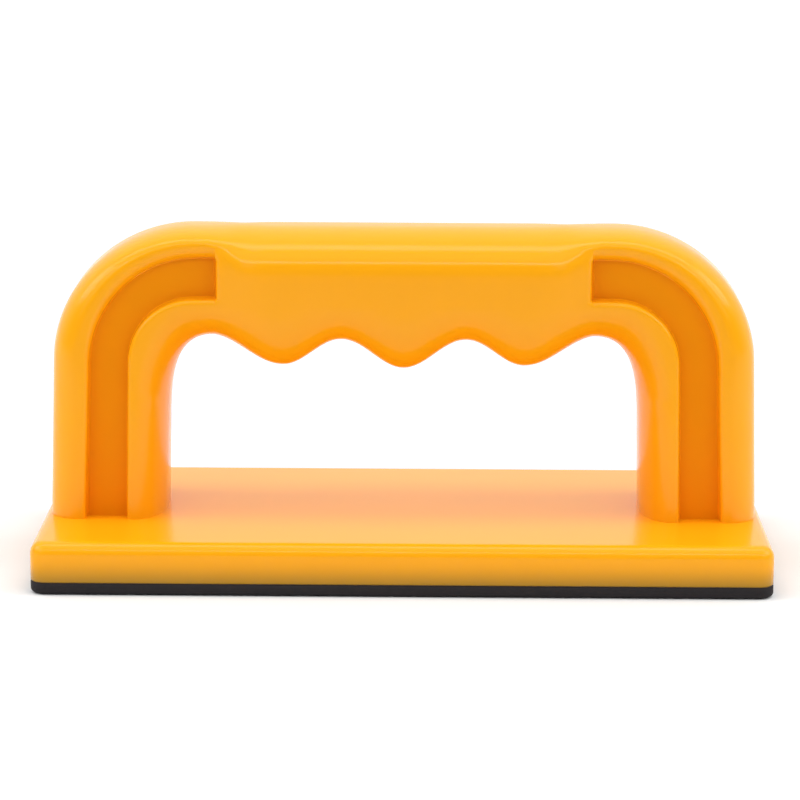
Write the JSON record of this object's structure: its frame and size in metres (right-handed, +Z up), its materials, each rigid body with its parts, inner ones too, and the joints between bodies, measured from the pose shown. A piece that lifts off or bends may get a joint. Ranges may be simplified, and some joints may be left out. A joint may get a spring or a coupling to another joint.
{
  "type": "grout float",
  "caption": "Small rubber-soled grout float: rectangular moulded plate with a hollow D-shaped handle, finger bumps under the grip and recessed channels along its legs.",
  "frame": {"origin": "under the middle of the sole, on the surface that the float rests on", "axes": "+X along the plate and handle, +Z up from the sole to the grip, -Y the front"},
  "size_m": [0.168, 0.076, 0.0787],
  "materials": {
    "yellow_plastic": "smooth glossy orange-yellow moulded ABS",
    "black_rubber": "matt black rubber",
    "adhesive": "dull brown adhesive film",
    "zinc_steel": "zinc-plated self-tapping screws"
  },
  "bodies": {
    "root": {"base_plate": "yellow_plastic", "handle_front_shell": "yellow_plastic", "handle_rear_shell": "yellow_plastic", "sole_pad": "black_rubber", "sole_adhesive": "adhesive", "base_screw_1": "zinc_steel", "base_screw_2": "zinc_steel", "base_screw_3": "zinc_steel", "base_screw_4": "zinc_steel", "shell_screw_1": "zinc_steel", "shell_screw_2": "zinc_steel", "shell_screw_3": "zinc_steel", "shell_screw_4": "zinc_steel"}
  },
  "joints": []
}
